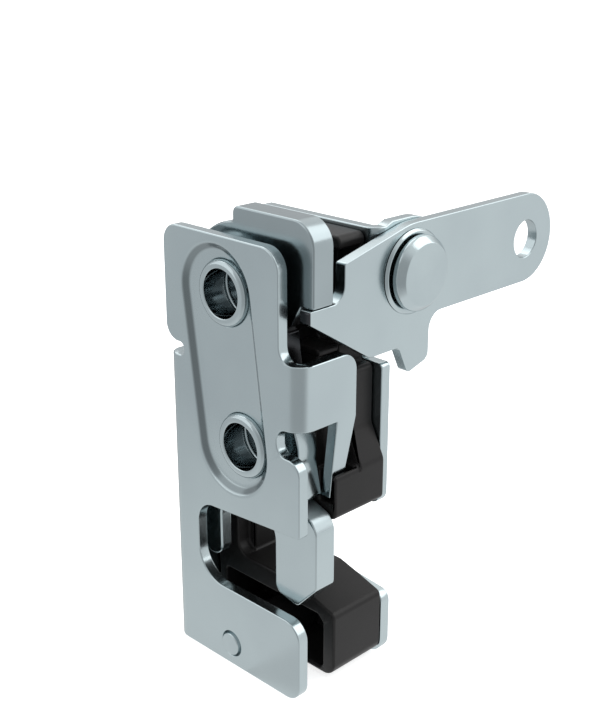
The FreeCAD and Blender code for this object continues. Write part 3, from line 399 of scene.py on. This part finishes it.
def addPiece(name, shape, materials, body):
    mesh = bpy.data.meshes.new(name + "Finished")
    bmesh.ops.remove_doubles(shape, verts=shape.verts, dist=mergeDistance)
    bmesh.ops.recalc_face_normals(shape, faces=shape.faces)
    shape.to_mesh(mesh)
    shape.free()
    for material in materials:
        mesh.materials.append(material)
    placePiece(name, mesh, body)


# Turned pieces: corners of the half section as (along the axis, radius, round) in mm.
bushFront = [
    (4.9, 4.50, 0), (4.4, 4.05, 0), (0.0, 4.05, 0.22), (0.0, 5.50, 0.85), (4.9, 5.50, 0.1),
]
bushRear = [
    (5.7, 4.05, 0), (5.1, 4.50, 0), (5.1, 5.50, 0.1), (8.3, 5.50, 0), (8.3, 6.00, 0.1),
    (20.4, 6.00, 0.1), (20.4, 5.50, 0), (22.5, 5.50, 0.12), (22.5, 4.05, 0.3),
]
leverRivet = [
    (6.9, 0, 0), (6.9, 4.40, 0.6), (8.4, 4.40, 0), (8.4, 3.50, 0), (13.35, 3.50, 0),
    (13.35, 4.70, 0), (13.75, 4.70, 0), (13.75, 6.35, 0.12), (14.55, 6.35, 0.25),
    (15.70, 5.20, 0.20), (15.70, 0, 0),
]
leverWasher = [
    (12.8, 3.52, 0), (13.25, 3.52, 0), (13.25, 6.75, 0.12), (12.8, 7.20, 0.08),
]
footRivet = [
    (-0.35, 0, 0), (-0.35, 2.02, 0.20), (0.70, 2.02, 0), (0.70, 2.35, 0), (2.1, 2.35, 0),
    (2.1, 2.80, 0), (20.4, 2.80, 0), (20.4, 2.35, 0), (22.85, 2.35, 0.22), (22.85, 0, 0),
]
rotorAxis = {"place": (0, 0, 0), "along": (0, 1, 0)}
pawlAxis = {"place": (-4.0, 0, 25.1), "along": (0, 1, 0)}
leverAxis = {"place": (0, 27.3, 26.7), "along": (1, 0, 0)}
footAxis = {"place": (-3.1, 0, -38.55), "along": (0, 1, 0)}
turnedPieces = {  # a hollow piece has a closed section
    "rotor_bush_front": {"section": bushFront, "axis": rotorAxis, "hollow": True},
    "pawl_bush_front": {"section": bushFront, "axis": pawlAxis, "hollow": True},
    "rotor_bush_rear": {"section": bushRear, "axis": rotorAxis, "hollow": True},
    "pawl_bush_rear": {"section": bushRear, "axis": pawlAxis, "hollow": True},
    "lever_rivet": {"section": leverRivet, "axis": leverAxis, "hollow": False},
    "lever_washer": {"section": leverWasher, "axis": leverAxis, "hollow": True},
    "lower_rivet": {"section": footRivet, "axis": footAxis, "hollow": False},
}
turnSteps = 96
roundSegments = 4
ringTolerance = 0.005 * mm
boreReach = 4.07  # mm; a hollow piece's faces nearer the axis have the bore's smoother finish, and its darker colour is painted shade in the bore


def turnPiece(name, turning):
    shape = bmesh.new()
    place = Vector(turning["axis"]["place"]) * mm
    along = Vector(turning["axis"]["along"])
    outwards = Vector((0, 0, 1))
    corners = [
        shape.verts.new(place + along * reach * mm + outwards * radius * mm)
        for reach, radius, _ in turning["section"]
    ]
    edges = [shape.edges.new(pair) for pair in zip(corners, corners[1:])]
    if turning["hollow"]:
        edges.append(shape.edges.new((corners[-1], corners[0])))
    bmesh.ops.spin(
        shape, geom=corners + edges, cent=place, axis=along, angle=2 * math.pi,
        steps=turnSteps, use_merge=True,
    )
    bmesh.ops.remove_doubles(shape, verts=shape.verts, dist=mergeDistance)
    for reach, radius, size in turning["section"]:
        if size:
            ring = [edge for edge in shape.edges if all(
                abs((vertex.co - place).dot(along) - reach * mm) < ringTolerance
                and abs((vertex.co - place - along * reach * mm).length - radius * mm) < ringTolerance
                for vertex in edge.verts
            )]
            bmesh.ops.bevel(
                shape, geom=ring, affect="EDGES", offset=size * mm, offset_type="OFFSET",
                segments=roundSegments, profile=0.5, material=-1, clamp_overlap=True,
            )
    for face in shape.faces:
        offset = face.calc_center_median() - place
        fromAxis = (offset - along * offset.dot(along)).length
        face.material_index = fromAxis < boreReach * mm and turning["hollow"]
    addPiece(name, shape, (platedTurned, platedBore), "housing")


for name, turning in turnedPieces.items():
    turnPiece(name, turning)
print("turned pieces made:", len(turnedPieces))

# Torsion springs: a coil and two straight legs of round wire, in mm.
spring = {
    "wireRadius": 0.55,
    "wireSides": 16,
    "coilRadius": 6.75,
    "start": 9.3,
    "pitch": 1.25,
    "turns": 2.5,
    "stepsPerTurn": 48,
    "firstLeg": 6.6,
    "lastLeg": 6.2,
}


def makeSpring(name, place, look):
    shape = bmesh.new()
    centre = Vector(place) * mm
    ring = bmesh.ops.create_circle(
        shape, segments=look["wireSides"], radius=look["wireRadius"] * mm,
    )["verts"]
    middle = centre + Vector((look["coilRadius"], look["start"], look["firstLeg"])) * mm
    bmesh.ops.translate(shape, verts=ring, vec=middle)
    bmesh.ops.contextual_create(shape, geom=ring)

    def drawn(faces, length):
        grown = bmesh.ops.extrude_face_region(shape, geom=faces)["geom"]
        vertices = [part for part in grown if isinstance(part, bmesh.types.BMVert)]
        bmesh.ops.translate(shape, verts=vertices, vec=(0, 0, length * mm))
        return [part for part in grown if isinstance(part, bmesh.types.BMFace)]

    coilStart = drawn(shape.faces[:], -look["firstLeg"])
    coil = bmesh.ops.spin(
        shape, geom=coilStart, cent=centre, axis=(0, 1, 0), angle=2 * math.pi * look["turns"],
        steps=round(look["turns"] * look["stepsPerTurn"]),
        dvec=(0, look["pitch"] / look["stepsPerTurn"] * mm, 0),
    )["geom_last"]
    drawn([part for part in coil if isinstance(part, bmesh.types.BMFace)], look["lastLeg"])
    # the faces left inside the wire where its three lengths meet
    inner = [face for face in shape.faces if all(len(edge.link_faces) > 2 for edge in face.edges)]
    bmesh.ops.delete(shape, geom=inner, context="FACES_ONLY")
    addPiece(name, shape, (springWire,), "housing")


makeSpring("rotor_spring", rotorAxis["place"], spring)
makeSpring("pawl_spring", pawlAxis["place"], spring)
print("springs made")

# The photograph's camera, from the front and the mouth's side.
cameraView = {
    "azimuth": 45.0,
    "elevation": 20.0,
    "place": (0.13235, -0.11846, 0.07964),
    "lens": 59.695,
    "sensor": 36.0,
    "nearest": 0.005,
    "farthest": 20.0,
}


def makeCamera(view):
    camera = bpy.data.cameras.new("camera")
    camera.lens = view["lens"]
    camera.sensor_width = view["sensor"]
    camera.clip_start = view["nearest"]
    camera.clip_end = view["farthest"]
    holder = bpy.data.objects.new("camera", camera)
    holder.location = view["place"]
    tilt = math.radians(90 - view["elevation"])
    holder.rotation_euler = (tilt, 0, math.radians(view["azimuth"]))
    bpy.context.collection.objects.link(holder)
    bpy.context.scene.camera = holder


lamps = {
    "rightBack": {"place": (0.45, 0.60, 0.60), "size": 0.80, "power": 2.4},
    "leftBack": {"place": (-0.60, 0.15, 0.65), "size": 0.70, "power": 1.6},
    "leftFront": {"place": (-0.50, -0.60, 0.45), "size": 0.90, "power": 1.5},
}
lampTarget = (0, 0.01, 0)


def makeLamp(name, lamp, target):
    light = bpy.data.lights.new(name, "AREA")
    light.energy = lamp["power"]
    light.size = lamp["size"]
    holder = bpy.data.objects.new(name, light)
    holder.location = lamp["place"]
    towards = Vector(target) - Vector(lamp["place"])
    holder.rotation_euler = towards.to_track_quat("-Z", "Y").to_euler()
    bpy.context.collection.objects.link(holder)


# A pale room with a soft light overhead at the back and a darker wall behind the camera.
# leftFront is its plain colour. Each other side has a colour, a direction and a step.
room = {
    "floorColour": (0.80, 0.80, 0.80, 1),
    "floorSize": 8.0,
    "floorGap": 0.2,  # mm under the object
    "floorSeen": 0.75,  # added to the floor where the camera sees it
    "leftFront": (0.70, 0.715, 0.73, 1),
    "rightBack": {"colour": (1.00, 1.01, 1.02, 1), "axis": (0.707, 0.707, 0.0), "step": (0.0, 1.4)},
    "leftBack": {"colour": (0.66, 0.67, 0.68, 1), "axis": (-0.707, 0.707, 0.0), "step": (0.70, 0.40)},
    "behindCamera": {
        "colour": (0.52, 0.53, 0.54, 1), "axis": (0.664, -0.664, 0.10), "step": (0.72, 0.36),
    },
    "overhead": {"colour": (1.20, 1.20, 1.20, 1), "axis": (-0.10, 0.50, 0.86), "step": (0.78, 0.20)},
    "nearFloor": (1.12, 1.12, 1.12, 1),  # the floor round the object, in reflections
    "nearReach": 0.15,
    "nearShare": 0.47,
}


def roomColour(graph, direction, look):
    colour = look["leftFront"]
    for name in ("rightBack", "leftBack", "behindCamera", "overhead"):
        side = look[name]
        share = graph.along(direction, side["axis"]).above(*side["step"])
        colour = graph.mix(share, colour, side["colour"])
    return colour


def rayShare(graph, kind):
    return graph.add("ShaderNodeLightPath", output=kind)


def makeWorld(look):
    world = bpy.data.worlds.new("room")
    world.use_nodes = True
    bpy.context.scene.world = world
    graph = Graph(world.node_tree, "ShaderNodeOutputWorld")
    direction = graph.add("ShaderNodeTexCoord", output="Generated")
    seen = rayShare(graph, "Is Camera Ray")
    colour = graph.mix(seen, roomColour(graph, direction, look), white)
    graph.end(graph.add("ShaderNodeBackground", None, {"Color": colour, "Strength": 1.0}))


def makeFloor(look, height):
    material, graph = newMaterial("floor")
    material.cycles.emission_sampling = "NONE"
    seen = rayShare(graph, "Is Camera Ray")
    mirrored = rayShare(graph, "Is Glossy Ray").math("MAXIMUM", rayShare(graph, "Is Transmission Ray"))
    pale = graph.add("ShaderNodeBsdfDiffuse", None, {"Color": look["floorColour"]})
    glowColour = graph.mix(seen, black, white)
    glow = graph.add("ShaderNodeEmission", None, {"Color": glowColour, "Strength": look["floorSeen"]})
    plain = graph.add("ShaderNodeAddShader", None, {0: pale, 1: glow})
    place = graph.place()
    direction = graph.vector("NORMALIZE", place)
    distance = graph.vector("LENGTH", place, output=1)
    near = 1 - distance.above(look["nearReach"] / 2, look["nearReach"])
    colour = graph.mix(near * look["nearShare"], roomColour(graph, direction, look), look["nearFloor"])
    reflected = graph.add("ShaderNodeEmission", None, {"Color": colour, "Strength": 1.0})
    graph.end(graph.add("ShaderNodeMixShader", None, {0: mirrored, 1: plain, 2: reflected}))
    bpy.ops.mesh.primitive_plane_add(size=look["floorSize"], location=(0, 0, height))
    floor = bpy.context.object
    floor.name = "floor"
    floor.data.materials.append(material)


makeCamera(cameraView)
for name, lamp in lamps.items():
    makeLamp(name, lamp, lampTarget)
makeWorld(room)
makeFloor(room, cadBox[0][2] - room["floorGap"] * mm)
print("camera, lamps and floor set")
